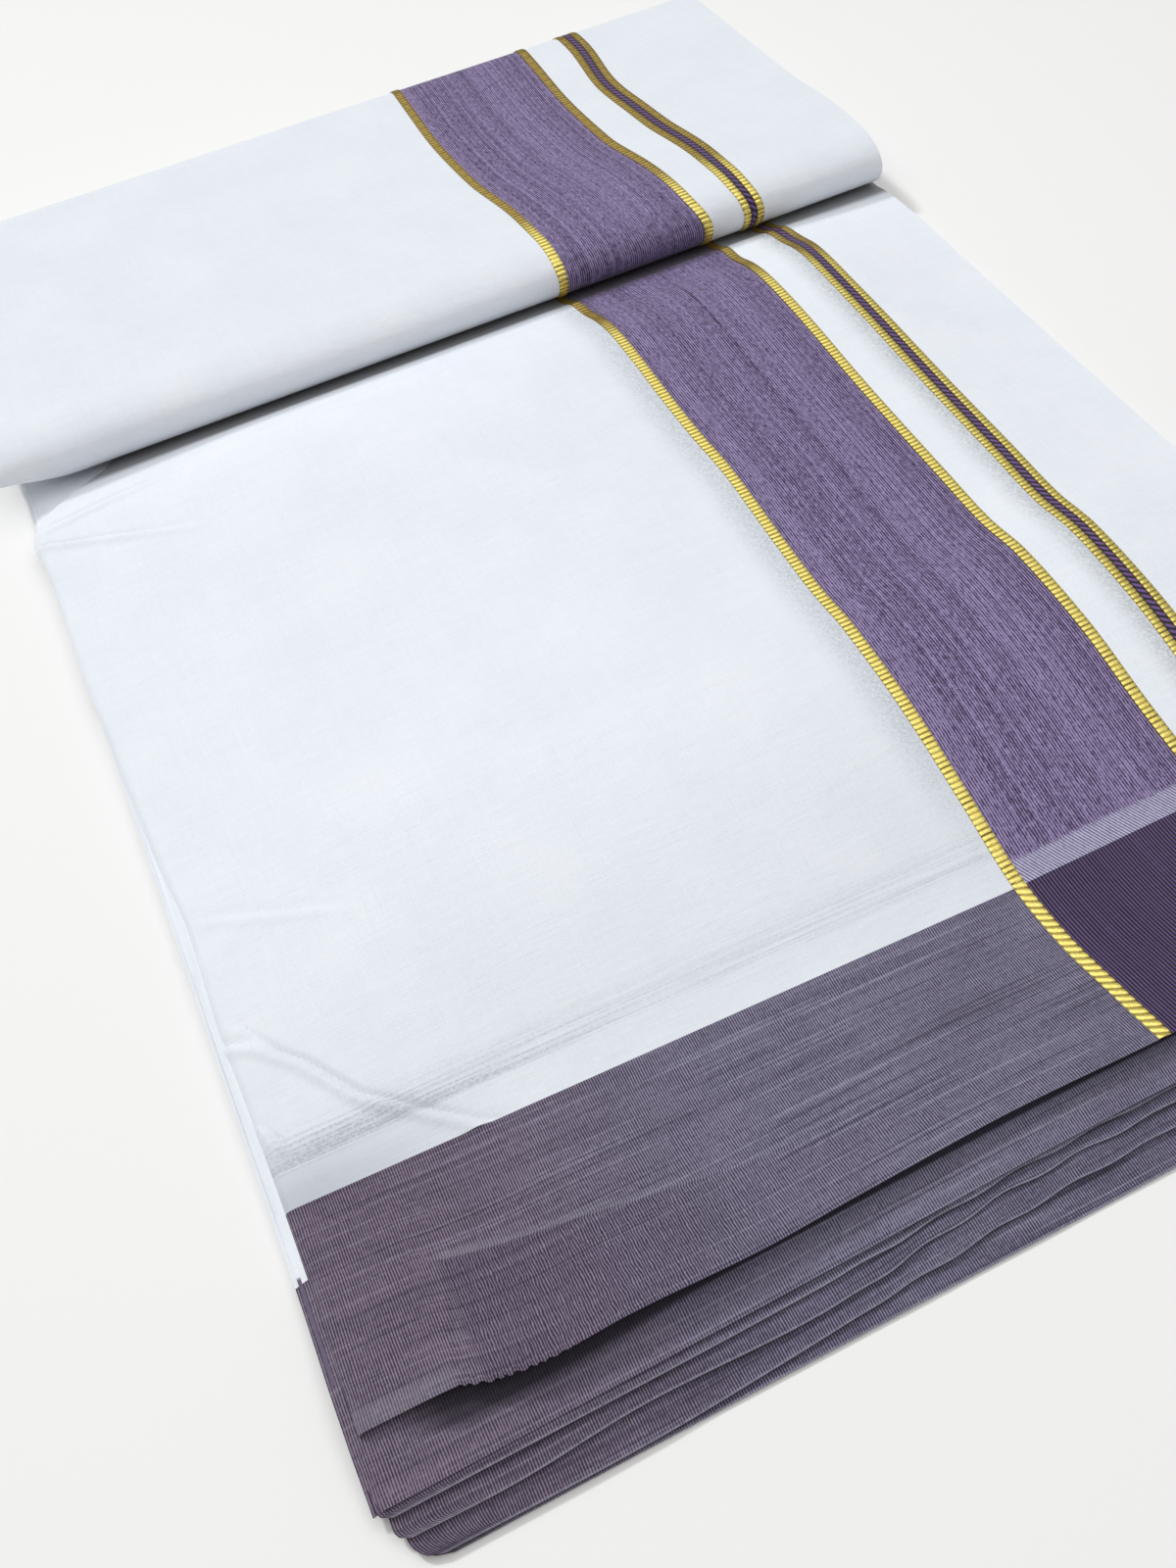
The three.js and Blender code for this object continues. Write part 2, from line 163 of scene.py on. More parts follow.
# Creases: points across and along, the height of the ridge and how wide it is
CREASES = [
    {"points": [(-1, 292.5), (4.5, 291.5), (20, 285), (50, 270.5)], "rise": 0.55, "width": 1.6},
    {"points": [(2, 299), (22, 302), (52, 304)], "rise": 0.45, "width": 1.8},
    {"points": [(4.5, 136), (23, 128), (42, 120)], "rise": 0.25, "width": 1.6},
    {
        "points": [(1, 98.5), (7, 95.5), (16, 85), (25, 70), (39, 58), (49, 50.5), (65, 43)],
        "rise": 0.75,
        "width": 1.7,
    },
    {"points": [(4, 103.5), (7, 99), (12, 92)], "rise": 0.4, "width": 1.4},
    {"points": [(2, 72), (6, 63)], "rise": 0.5, "width": 1.4},
    {"points": [(28.5, 27), (46, 25), (65, 22)], "rise": 0.4, "width": 1.2},
    {"points": [(28.5, 27), (26, 15), (22.5, 2)], "rise": 0.4, "width": 1.2},
]


def mix(start, end, share):
    return start + (end - start) * share


def ease(share):
    held = np.clip(share, 0, 1)
    return held * held * (3 - 2 * held)


def read(rows, names, column, place):
    """A column of a table at places along its first column, as a smooth curve through the rows."""
    table = np.array(rows, float)
    stations = table[:, 0]
    values = table[:, names.index(column)]
    last = len(stations) - 1
    before = np.maximum(np.arange(last + 1) - 1, 0)
    after = np.minimum(np.arange(last + 1) + 1, last)
    slopes = (values[after] - values[before]) / (stations[after] - stations[before])
    i = np.clip(np.searchsorted(stations, place, side="right") - 1, 0, last - 1)
    step = stations[i + 1] - stations[i]
    t = np.clip((place - stations[i]) / step, 0, 1)
    swing = step * t * (1 - t) * ((1 - t) * slopes[i] - t * slopes[i + 1])
    return mix(values[i], values[i + 1], t * t * (3 - 2 * t)) + swing


def crease_height(across, along):
    """The creases' soft ridges, each with a shallow trough along its far side."""
    height = np.zeros_like(across)
    for crease in CREASES:
        points = np.array(crease["points"], float)
        nearest = np.full(across.shape, 1e9)
        signed = np.zeros_like(across)
        share = np.zeros_like(across)
        for k, (start, end) in enumerate(zip(points[:-1], points[1:])):
            run = end - start
            length = np.hypot(*run)
            t = np.clip(
                ((across - start[0]) * run[0] + (along - start[1]) * run[1]) / length**2, 0, 1
            )
            aside_x = across - start[0] - t * run[0]
            aside_y = along - start[1] - t * run[1]
            distance = np.hypot(aside_x, aside_y)
            side = (aside_x * run[1] - aside_y * run[0]) / length
            closer = distance < nearest
            nearest = np.where(closer, distance, nearest)
            signed = np.where(closer, np.sign(side) * distance, signed)
            share = np.where(closer, (k + t) / (len(points) - 1), share)
        reach = signed / crease["width"]
        fade = np.sin(np.pi * np.clip(0.12 + 0.88 * share, 0, 1)) ** 0.7
        height += crease["rise"] * fade * (reach * 1.6 + 0.4) * np.exp(-(reach**2))
    return height


def strip_height(x, y):
    from_left = ease((x - LEFT_EDGE) / CROWN_LEFT)
    from_right = ease((LEFT_EDGE + WIDTH - x) / CROWN_RIGHT)
    side = read(STRIP, STRIP_COLUMNS, "side", y)
    middle = read(STRIP, STRIP_COLUMNS, "middle", y)
    return mix(side, middle, from_left * from_right)


def open_face(across, along, lift=0.0):
    """Where a point of the open sheet lies, lifted off it by so much."""
    end_rise = read(CUT_END, CUT_END_COLUMNS, "in", across)
    border_rise = SKEW * (1 - np.minimum(across / SKEW_WIDTH, 1))
    in_border = mix(end_rise, border_rise, np.clip(along / BORDER, 0, 1))
    in_strip = border_rise * (1 - ease((along - BORDER) / STRAIGHTENING))
    y = OPEN_END + along + np.where(along < BORDER, in_border, in_strip)
    left = read(STRIP, STRIP_COLUMNS, "left", y)
    band = read(STRIP, STRIP_COLUMNS, "band", y)
    band_right = read(STRIP, STRIP_COLUMNS, "band_right", y)
    stripe = read(STRIP, STRIP_COLUMNS, "stripe", y)
    shift = mix(left, band, np.clip(across / BAND_LEFT, 0, 1))
    shift += (band_right - band) * np.clip((across - BAND_LEFT) / (BAND_RIGHT - BAND_LEFT), 0, 1)
    shift += (stripe - band_right) * ease((across - BAND_RIGHT) / (STRIPE_LEFT - BAND_RIGHT))
    shift = shift * (1 - ease((across - STRIPE_RIGHT) / (WIDTH - STRIPE_RIGHT)))
    x = LEFT_EDGE + across + shift
    fold = np.clip(1 - across / FOLD_REACH, 0, 1)
    curl = read(CUT_END, CUT_END_COLUMNS, "up", across) * (1 - ease(along / 16)) ** 1.5
    frayed = ease((across - 21) / 3) * (1 - ease((across - 36) / 16)) * (1 - ease(along / 7))
    teeth = frayed * np.sin(2.6 * across + np.sin(0.8 * across))
    y = y + 0.25 * teeth * (1 - ease(along / 3))
    z = strip_height(x, y) + crease_height(across, along) + curl + 0.3 * teeth + lift
    return x, y, z - FOLD_DROP * (1 - np.sqrt(1 - fold**2))


def lay_sheet(name, across, along, cell, face, relief=None, thickness=LAYER):
    """A sheet of cloth: a flat grid at its own size, laid on the face and given its thickness.
    The relief lifts its threads off the face, and is kept for the finish to read."""
    bpy.ops.object.select_all(action="DESELECT")
    width, length = across[1] - across[0], along[1] - along[0]
    bpy.ops.mesh.primitive_grid_add(
        x_subdivisions=max(round(width / cell[0]), 1),
        y_subdivisions=max(round(length / cell[1]), 1),
        size=1,
        location=((across[0] + width / 2) * MM, (along[0] + length / 2) * MM, 0),
    )
    piece = bpy.context.object
    piece.name = f"cloth_{name}"
    piece.scale = (width * MM, length * MM, 1)
    bpy.ops.object.transform_apply(location=True, rotation=False, scale=True)
    mesh = piece.data
    flat = np.zeros(len(mesh.vertices) * 3)
    mesh.vertices.foreach_get("co", flat)
    flat = flat.reshape(-1, 3)
    corner = np.zeros(len(mesh.loops), int)
    mesh.loops.foreach_get("vertex_index", corner)
    mesh.uv_layers[0].data.foreach_set("uv", flat[corner, :2].ravel())
    places = flat[:, 0] / MM, flat[:, 1] / MM
    if relief:
        lift = relief(*places)
        kept = mesh.attributes.new("relief", "FLOAT", "POINT")
        kept.data.foreach_set("value", lift)
        laid = face(*places, lift)
    else:
        laid = face(*places)
    mesh.vertices.foreach_set("co", (np.stack(laid, axis=1) * MM).ravel())
    mesh.update()
    bpy.ops.object.modifier_add(type="SOLIDIFY")
    shell = piece.modifiers[-1]
    shell.thickness = thickness * MM
    shell.offset = -1
    bpy.ops.object.modifier_apply(modifier=shell.name)
    bpy.ops.object.shade_smooth_by_angle(angle=np.radians(50))
    return piece


class Wire:
    """A socket in a finish. Numbers and wires add and multiply into new nodes."""

    def __init__(self, tree, socket):
        self.tree = tree
        self.socket = socket

    def node(self, kind, settings, inputs, output=0):
        made = self.tree.nodes.new(kind)
        for name, value in settings.items():
            setattr(made, name, value)
        for name, value in inputs.items():
            if isinstance(value, Wire):
                self.tree.links.new(value.socket, made.inputs[name])
            else:
                made.inputs[name].default_value = value
        return Wire(self.tree, made.outputs[output])

    def maths(self, operation, *values):
        inputs = dict(enumerate((self, *values)))
        return self.node("ShaderNodeMath", {"operation": operation}, inputs)

    def __add__(self, other):
        return self.maths("ADD", other)

    def __radd__(self, other):
        return self.maths("ADD", other)

    def __mul__(self, other):
        return self.maths("MULTIPLY", other)

    def __rmul__(self, other):
        return self.maths("MULTIPLY", other)

    def __sub__(self, other):
        return self.maths("SUBTRACT", other)

    def __rsub__(self, other):
        return (self * -1.0).maths("ADD", other)

    def __truediv__(self, other):
        return self.maths("DIVIDE", other)

    def __pow__(self, other):
        return self.maths("POWER", other)

    def wave(self, pitch):
        """A smooth wave from 0 to 1 that repeats at the pitch."""
        return (self * (2 * np.pi / pitch)).maths("SINE") * 0.5 + 0.5

    def step(self, start, end):
        """Rises smoothly from 0 to 1 between start and end."""
        return self.node(
            "ShaderNodeMapRange",
            {"interpolation_type": "SMOOTHSTEP"},
            {"Value": self, "From Min": start, "From Max": end},
        )

    def colours(self, low, high):
        """The colour from low to high that the wire picks."""
        return self.node(
            "ShaderNodeMix", {"data_type": "RGBA"}, {0: self, 6: low, 7: high}, output=2
        )

    def threads(self, pitch, other, run, seed=0.0):
        """Threads side by side at the pitch, each in its own tone that changes along its run."""
        thread = (self / pitch).maths("FLOOR") * 7.31
        place = self.node("ShaderNodeCombineXYZ", {}, {0: thread, 1: other / run})
        return self.node(
            "ShaderNodeTexNoise",
            {"noise_dimensions": "4D"},
            {"Vector": place, "W": seed, "Scale": 1.0, "Detail": 1.0},
        )

    def grain(self, across, along, detail=2.0, seed=0.0):
        """Noise from 0 to 1 on the wire's place, drawn out to the sizes across and along."""
        stretched = self.node(
            "ShaderNodeVectorMath",
            {"operation": "MULTIPLY"},
            {0: self, 1: (1 / across, 1 / along, 1)},
        )
        return self.node(
            "ShaderNodeTexNoise",
            {"noise_dimensions": "4D"},
            {"Vector": stretched, "W": seed, "Scale": 1.0, "Detail": detail},
        )


class Finish:
    """A woven finish, worked out on the cloth's flat distances in millimetres."""

    def __init__(self, name, roughness, sheen=0.0, metallic=0.0, crevice_shade=None):
        self.crevice_shade = crevice_shade
        self.material = bpy.data.materials.new(name)
        self.material.use_nodes = True
        self.tree = self.material.node_tree
        self.shader = self.tree.nodes["Principled BSDF"]
        self.shader.inputs["Roughness"].default_value = roughness
        self.shader.inputs["Sheen Weight"].default_value = sheen
        self.shader.inputs["Metallic"].default_value = metallic
        uv = Wire(self.tree, self.tree.nodes.new("ShaderNodeUVMap").outputs[0])
        self.place = uv.node(
            "ShaderNodeVectorMath", {"operation": "SCALE"}, {0: uv, "Scale": 1 / MM}
        )
        self.across = uv.node("ShaderNodeSeparateXYZ", {}, {0: self.place})
        self.along = uv.node("ShaderNodeSeparateXYZ", {}, {0: self.place}, output=1)

    def relief(self):
        """How far the piece's threads stand off its face, in millimetres."""
        kept = self.tree.nodes.new("ShaderNodeAttribute")
        kept.attribute_name = "relief"
        return Wire(self.tree, kept.outputs["Fac"])

    def close(self, colour, height):
        """Joins the colour and the height of the weave, in millimetres, to the surface. Where the
        cloth runs in under the pack's front fold, its colour is darkened as painted shade."""
        if self.crevice_shade:
            start, end = self.crevice_shade
            shade_depth = (self.along - start) / (end - start)
            colour = (shade_depth.step(0, 1) * 0.7).colours(colour, (0.05, 0.042, 0.038, 1))
        self.tree.links.new(colour.socket, self.shader.inputs["Base Color"])
        bump = height.node("ShaderNodeBump", {}, {"Height": height, "Distance": MM})
        self.tree.links.new(bump.socket, self.shader.inputs["Normal"])
        return self.material


def white_cotton(name, shade=None, crevice_shade=None):
    """Plain white cotton: a fine even weave with slubs both ways. shade(finish) dulls it."""
    finish = Finish(name, roughness=0.9, sheen=0.1, crevice_shade=crevice_shade)
    warp = finish.across.threads(THREAD, finish.along, SLUB)
    weft = finish.along.threads(THREAD, finish.across, SLUB, seed=3)
    cloud = finish.place.grain(24, 24, seed=7)
    tone = (warp + weft) * 0.3 + cloud * 0.45 - 0.03
    colour = tone.step(0.3, 0.7).colours((0.795, 0.83, 0.89, 1), (0.86, 0.885, 0.93, 1))
    if shade:
        mask, dull = shade(finish)
        colour = mask.colours(colour, dull)
    weave = finish.across.wave(THREAD) * finish.along.wave(THREAD)
    rumple = finish.place.grain(7, 4, seed=9)
    return finish.close(colour, weave * 0.03 + (warp + weft) * 0.05 + rumple * 0.25)


GREY = (0.47, 0.5, 0.54, 1)


def open_field_shade(finish):
    """Grey showing through beside the band and in lines before the end border, and a little grey
    towards the near end and towards the band. Painted shade darkens the near left corner and the
    creases' troughs."""
    speckle = finish.along.threads(0.45, finish.across, 0.9, seed=11)
    beside_band = finish.across.step(179, 191) ** 1.5 * finish.along.step(40, 110)
    lines = finish.along.threads(0.45, finish.across, 50, seed=5).step(0.3, 0.65)
    before_border = finish.along.step(57.5, 61) * (1 - finish.along.step(61, 72)) * lines
    before_border = before_border * (speckle.step(0.3, 0.7) * 0.6 + 0.4)
    before_border = before_border * (1.4 - finish.across.step(30, 100) * 0.85)
    # Painted shade at the near left corner, below the creases there; the field is also a little
    # greyer towards the near end and towards the band
    corner = (1 - finish.across.step(5, 60)) * (1 - finish.along.step(50, 68)) * 0.7
    corner = corner + (1 - finish.along.step(50, 140)) * 0.12 + finish.across.step(120, 191) * 0.08
    mask = beside_band * (speckle.step(0.3, 0.7) * 0.5 + 0.25) + before_border * 0.8 + corner
    # Painted shade in the creases' troughs
    trough = 1 - finish.relief().step(-0.3, -0.04)
    mask = mask + trough * 0.42
    return mask.maths("MINIMUM", 1.0), GREY


# The creases stand out more on the plain field, so its relief lifts them once again
open_field = lay_sheet(
    "open_field",
    (0, BAND_LEFT),
    (BORDER, OPEN_LENGTH),
    (1.1, 1.1),
    open_face,
    crease_height,
)
open_field.data.materials.append(white_cotton("field_cotton", open_field_shade, CREVICE_SHADE))
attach(open_field, "root")
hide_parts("open_field")


# Open sheet, band: mauve warp on white weft, in one length with the field, with a twill strip
# before the end border. A line of gold thread ribs runs along each side.

BAND = (195.3, 250.3)
ZARI_LINES = {"zari_left": (BAND_LEFT, BAND[0]), "zari_right": (BAND[1], BAND_RIGHT)}
TWILL = 6.5  # length of the twill strip
MAUVE_WARP = 0.6  # pitch of the mauve warp threads
MAUVE_DARK, MAUVE_LIGHT = (0.026, 0.012, 0.052, 1), (0.33, 0.255, 0.465, 1)
TWILL_DARK, TWILL_LIGHT = (0.13, 0.11, 0.21, 1), (0.53, 0.5, 0.67, 1)


def mauve_weave(name, crevice_shade=None, twill_from=None):
    """Mauve cotton with light and dark warp threads, and paler twill past a place along it."""
    finish = Finish(name, roughness=0.85, sheen=0.15, crevice_shade=crevice_shade)
    warp = finish.across.threads(MAUVE_WARP, finish.along, 400, seed=1)
    part = finish.across.threads(MAUVE_WARP, finish.along, 2, seed=2)
    weft = finish.along.threads(THREAD, finish.across, 0.7, seed=8)
    line = finish.across.wave(0.8)
    tone = (warp * 0.3 + part * 0.3 + weft * 0.22 + line * 0.18).step(0.4, 0.61)
    colour = tone.colours(MAUVE_DARK, MAUVE_LIGHT)
    height = finish.across.wave(0.9) * 0.04 + warp * 0.15
    if twill_from is not None:
        twill = (finish.across + finish.along * 0.5).wave(0.9) * 0.4 + part * 0.3 + weft * 0.3
        pale = twill.step(0.35, 0.65).colours(TWILL_DARK, TWILL_LIGHT)
        ragged = finish.along + warp * 3
        inside = 1 - ragged.step(twill_from + TWILL + 0.6, twill_from + TWILL + 2.4)
        colour = inside.colours(colour, pale)
        height = height + inside * twill * 0.08
    return finish.close(colour, height)


def gold_thread(name, dark_reflection_from):
    """Gold thread over cotton: bright on its ribs, brown between them. Past a place it is painted
    dark brown, a painted dark reflection with a few painted glints.
    """
    finish = Finish(name, roughness=0.34, metallic=0.75)
    wear_and_glints = finish.place.grain(0.6, 0.6, seed=4)
    relief = finish.relief()
    colour = wear_and_glints.step(0.3, 0.7).colours((0.85, 0.66, 0.12, 1), (1, 0.88, 0.3, 1))
    colour = relief.step(0.12, 0.3).colours((0.2, 0.115, 0.02, 1), colour)
    # Painted dark reflection: past a place along the thread the gold turns dark brown, with spots of
    # the grain left bright as painted glints
    dark_reflection = finish.along.step(dark_reflection_from - 8, dark_reflection_from + 8) * (1 - wear_and_glints.step(0.6, 0.7) * 0.5) * 0.8
    colour = dark_reflection.colours(colour, (0.3, 0.19, 0.05, 1))
    return finish.close(colour, wear_and_glints * 0.05)


GOLD_CELL = (0.5, 0.26)
GOLD = gold_thread("gold_thread", dark_reflection_from=288)
RIB = 1.6  # pitch of the gold ribs
ROPE = 2.1  # pitch of the ropes that they become in the end border


def ribs(edges, rope_until=0.0):
    """The relief of ribs across a line, which turn to slanting ropes within the end border."""
    middle = (edges[0] + edges[1]) / 2
    half = (edges[1] - edges[0]) / 2

    def relief(across, along):
        aside = (across - middle) / half
        roped = 1 - ease((along - rope_until) / 5 + 0.5)
        turns = np.minimum(along, rope_until) / ROPE + np.maximum(along - rope_until, 0) / RIB
        dome = 1 - 0.5 * aside**4
        return 0.08 + 0.36 * dome * np.abs(np.cos(np.pi * (turns + 0.4 * roped * aside))) ** 0.8

    return relief


open_band = lay_sheet("open_band", BAND, (BORDER, OPEN_LENGTH), (1.8, 1.6), open_face)
open_band.data.materials.append(mauve_weave("band_weave", CREVICE_SHADE, twill_from=BORDER))
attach(open_band, "root")
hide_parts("open_band")

for line, edges in ZARI_LINES.items():
    zari = lay_sheet(
        f"open_{line}", edges, (0, OPEN_LENGTH), GOLD_CELL, open_face, ribs(edges, BORDER)
    )
    zari.data.materials.append(GOLD)
    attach(zari, "root")
    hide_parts(f"open_{line}")


# Open sheet, gap and margin: the white cotton on each side of the narrow stripe, the margin
# running to the right edge. They are one cloth with the field and the band.

GAP = (BAND_RIGHT, STRIPE_LEFT)
MARGIN = (STRIPE_RIGHT, WIDTH)


def gap_shade(finish):
    """Grey speckle beside the narrow stripe, heavier towards it."""
    speckle = finish.along.threads(0.45, finish.across, 0.9, seed=12)
    beside = finish.across.step(258, 267) ** 1.5 * (speckle.step(0.3, 0.7) * 0.6 + 0.3)
    return beside, (0.42, 0.44, 0.46, 1)


open_gap = lay_sheet("open_gap", GAP, (BORDER, OPEN_LENGTH), (1.3, 1.3), open_face)
open_gap.data.materials.append(white_cotton("gap_cotton", gap_shade, CREVICE_SHADE))
open_margin = lay_sheet("open_margin", MARGIN, (BORDER, OPEN_LENGTH), (1.6, 1.5), open_face)
open_margin.data.materials.append(white_cotton("margin_cotton", crevice_shade=CREVICE_SHADE))


# Open sheet, narrow stripe: a chain of dark cord between two lines of gold thread, woven in
# between the gap and the margin. It runs on through the end border.

CORD = (269.6, 272.4)
STRIPE_LINES = {
    "stripe_zari_left": (STRIPE_LEFT, CORD[0]),
    "stripe_zari_right": (CORD[1], STRIPE_RIGHT),
}
CHAIN = 2.2  # length of a link of the cord


def links(edges):
    """The relief of the links of a twisted cord along a line."""
    middle = (edges[0] + edges[1]) / 2
    half = (edges[1] - edges[0]) / 2

    def relief(across, along):
        aside = (across - middle) / half
        dome = np.sqrt(np.clip(1 - 0.9 * aside**2, 0, 1))
        return 0.05 + 0.35 * dome * np.abs(np.cos(np.pi * (along / CHAIN + 0.5 * aside)))

    return relief


def dark_cord(name):
    """Twisted plum thread, near black between its links."""
    finish = Finish(name, roughness=0.7, sheen=0.2)
    fibre = finish.place.grain(0.5, 0.5, seed=6)
    link = finish.relief().step(0.15, 0.38) * 0.8 + fibre * 0.3
    colour = link.step(0.25, 0.95).colours((0.004, 0.001, 0.009, 1), (0.17, 0.075, 0.26, 1))
    return finish.close(colour, fibre * 0.08)


CORD_THREAD = dark_cord("cord_thread")
stripe_pieces = []
for line, edges in STRIPE_LINES.items():
    zari = lay_sheet(
        f"open_{line}", edges, (0, OPEN_LENGTH), GOLD_CELL, open_face, ribs(edges, BORDER)
    )
    zari.data.materials.append(GOLD)
    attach(zari, "root")
    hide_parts(f"open_{line}")
    stripe_pieces.append(zari)
open_cord = lay_sheet(
    "open_stripe_cord", CORD, (0, OPEN_LENGTH), (0.4, 0.3), open_face, links(CORD)
)
open_cord.data.materials.append(CORD_THREAD)
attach(open_cord, "root")
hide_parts("open_stripe_cord")

for node, piece, edges, on_it in (
    ("open_gap", open_gap, GAP, []),
    ("open_margin", open_margin, MARGIN, [*stripe_pieces, open_cord]),
):
    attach(piece, "root")
    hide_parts(node)
    (edges[1] - edges[0]) * MM


# Open sheet, end border: the weft turns mauve for the last 50 mm, so the white warp shows as
# fine ribs and the band's own warp turns a dark corded plum.

WARP_RIB = 0.64  # pitch of the ribs
MAUVE_WEFT = 0.42  # pitch of the weft
PLUM_CORD = 0.87  # pitch of the band's cords


def border_weave(name, seed, patch=False, shade_under_end=False, tone_and_painted_light=1.0, cut=0.0):
    """White warp ribs under mauve weft, with long paler and darker wefts. The patch is the worn
    near left corner of the open sheet, darker and looser past a line and pale along the hem. A
    cut end has a pale lip. The second sheet's border is painted dark as shade where it runs in
    under the open sheet's lifted end."""
    finish = Finish(name, roughness=0.88, sheen=0.1)
    wander = finish.place.grain(6, 12, seed=seed) * 0.7
    if patch:
        below = finish.along + finish.across * 0.13
        loose = finish.across.step(27, 29) * (1 - below.step(30.2, 31)) * (
            1 - finish.across.step(60, 150)
        )
        wander = wander + finish.place.grain(1.6, 2.6, seed=seed + 6) * loose * 0.9
    rib = (finish.across + wander).wave(WARP_RIB)
    shown = finish.across.step(30, 130) * 0.6 + 0.4
    weft = finish.along.threads(MAUVE_WEFT, finish.across, 90, seed=seed + 1)
    pick = finish.along.threads(MAUVE_WEFT, finish.across, 1.5, seed=seed + 4)
    fleck = finish.across.threads(WARP_RIB, finish.along, 1.2, seed=seed + 2)
    cloud = finish.place.grain(22, 6, seed=seed + 3)
    tone = rib * 0.36 + weft * 0.3 + pick * 0.24 + fleck * 0.24 + cloud * 0.2 - 0.17
    low = finish.across.step(20, 110).colours((0.034, 0.02, 0.044, 1), (0.034, 0.027, 0.058, 1))
    high = finish.across.step(20, 110).colours((0.25, 0.195, 0.265, 1), (0.28, 0.255, 0.36, 1))
    # The tone factor darkens the leaves' borders a little, and lightens the second sheet's border as
    # painted light against the shadow of the open sheet's lifted end
    colour = (tone * tone_and_painted_light).step(0.33, 0.69).colours(low, high)
    bright = weft.step(0.6, 0.66) * (pick * 0.8 - 0.05) * (rib * 0.4 + 0.4) * shown
    colour = bright.colours(colour, (0.42, 0.41, 0.52, 1))
    dark = (1 - weft.step(0.34, 0.4)) * 0.4 * shown
    colour = dark.colours(colour, (0.03, 0.025, 0.05, 1))
    if patch:
        edge = below.step(30.4, 31) * (1 - below.step(31.4, 33)) * finish.across.step(27, 30)
        edge = edge * (1 - finish.across.step(50, 110)) * 0.2
        hem = (1 - finish.along.step(3.5, 5.5)) * (1 - finish.across.step(21, 24)) * 0.14
        colour = (loose * (1.1 - rib) * 0.75).colours(colour, (0.03, 0.016, 0.045, 1))
        colour = (edge + hem).colours(colour, (0.36, 0.35, 0.42, 1))
    if cut:
        lip = (1 - finish.along.step(0.1, 0.7)) * (fleck * 0.8 + 0.1)
        colour = (lip * cut).colours(colour, (0.42, 0.4, 0.5, 1))
    # Painted shade: the second sheet's border darkened under the open sheet's lifted end
    if shade_under_end:
        reach = finish.across.step(12, 26) * (1 - finish.across.step(40, 85)) * 4.8 + 0.9
        shade_depth = ((finish.along - 9.8) / reach + 1).step(0.1, 0.85)
        shade_depth = shade_depth * finish.across.step(9, 22)
        colour = (shade_depth * 0.85).colours(colour, (0.008, 0.005, 0.014, 1))
    return finish.close(colour, rib * 0.1 + weft * 0.1)


def plum_weave(name):
    """Plum cords that run lengthwise, close together."""
    finish = Finish(name, roughness=0.82, sheen=0.15)
    wander = finish.place.grain(5, 30, seed=21) * 0.3
    cord = (finish.across + wander).wave(PLUM_CORD)
    fleck = finish.along.threads(0.5, finish.across, 3, seed=22)
    shade = finish.across.threads(PLUM_CORD, finish.along, 40, seed=23)
    tone = cord**2.2 * 0.7 + fleck * 0.4 + shade * 0.6 - 0.37
    colour = tone.step(0.24, 0.6).colours((0.002, 0.0005, 0.008, 1), (0.135, 0.072, 0.215, 1))
    return finish.close(colour, cord * 0.18 + fleck * 0.04)


BORDER_THREAD = border_weave("border_weave", seed=30)
end_zones = {
    "open_end_field": ((0, BAND_LEFT), border_weave("worn_weave", 30, patch=True), "end_border"),
    "open_end_band": (BAND, plum_weave("plum_weave"), "plum"),
    "open_end_gap": (GAP, BORDER_THREAD, "end_border"),
    "open_end_margin": (MARGIN, BORDER_THREAD, "end_border"),
}
for name, (edges, weave, slot) in end_zones.items():
    piece = lay_sheet(name, edges, (0, BORDER), (0.55, 1.1), open_face)
    piece.data.materials.append(weave)
    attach(piece, "root")
    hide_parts(name)
    (edges[1] - edges[0]) * MM


# Second sheet: the layer under the open one. It shows as a sliver at the left edge, in the
# corner by the pack, and past the open sheet's cut end, where its own end border starts.

SECOND_LEFT = LEFT_EDGE + 0.8
SECOND_WIDTH = WIDTH + 0.2
SECOND_END = -230
HELD_FROM = -204  # y where the near end's height stops following the open sheet's
SECOND_DROP = 1.5  # how far the sheet lies below the open one
UNDER_PACK = 128  # y where the open and the second sheet end, out of sight

# Its cut end by distance across: how far out it lies
SECOND_ENDS_COLUMNS = ("across", "out")
SECOND_ENDS = [(0, 0), (25, 0.3), (90, 1.3), (180, 3), (320, 2)]


def second_face(across, along):
    x = SECOND_LEFT + across
    out = read(SECOND_ENDS, SECOND_ENDS_COLUMNS, "out", across)
    y = SECOND_END + along + out * (1 - ease(along / 40))
    fold = np.clip(1 - across / FOLD_REACH, 0, 1)
    z = strip_height(x, np.maximum(y, HELD_FROM)) - SECOND_DROP
    droop = 1.4 * (1 - ease((y - SECOND_END) / 14))
    return x, y, z - droop - FOLD_DROP * (1 - np.sqrt(1 - fold**2))


second_sizes = {
    "second_end_border": (
        (0, BORDER),
        # This border is lightened a little as painted light against the shadow of the open sheet's
        # lifted end, and painted dark as shade right under that end
        border_weave("second_weave", 30, shade_under_end=True, tone_and_painted_light=1.06),
        "end_border",
    ),
    "second_field": (
        (BORDER, UNDER_PACK - SECOND_END),
        white_cotton("second_cotton"),
        "white_cotton",
    ),
}
for name, (reach, weave, slot) in second_sizes.items():
    piece = lay_sheet(name, (0, SECOND_WIDTH), reach, (3, 2), second_face)
    piece.data.materials.append(weave)
    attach(piece, "root")
    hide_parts(name)
    (reach[1] - reach[0]) * MM


# Leaf ends: the cut ends of the lower layers, each a little further out than the one above.
# They are the same border weave and lie in long shallow waves, crumpled a little in the middle.

LEAF_BACK = -204  # y where the hidden layers take over
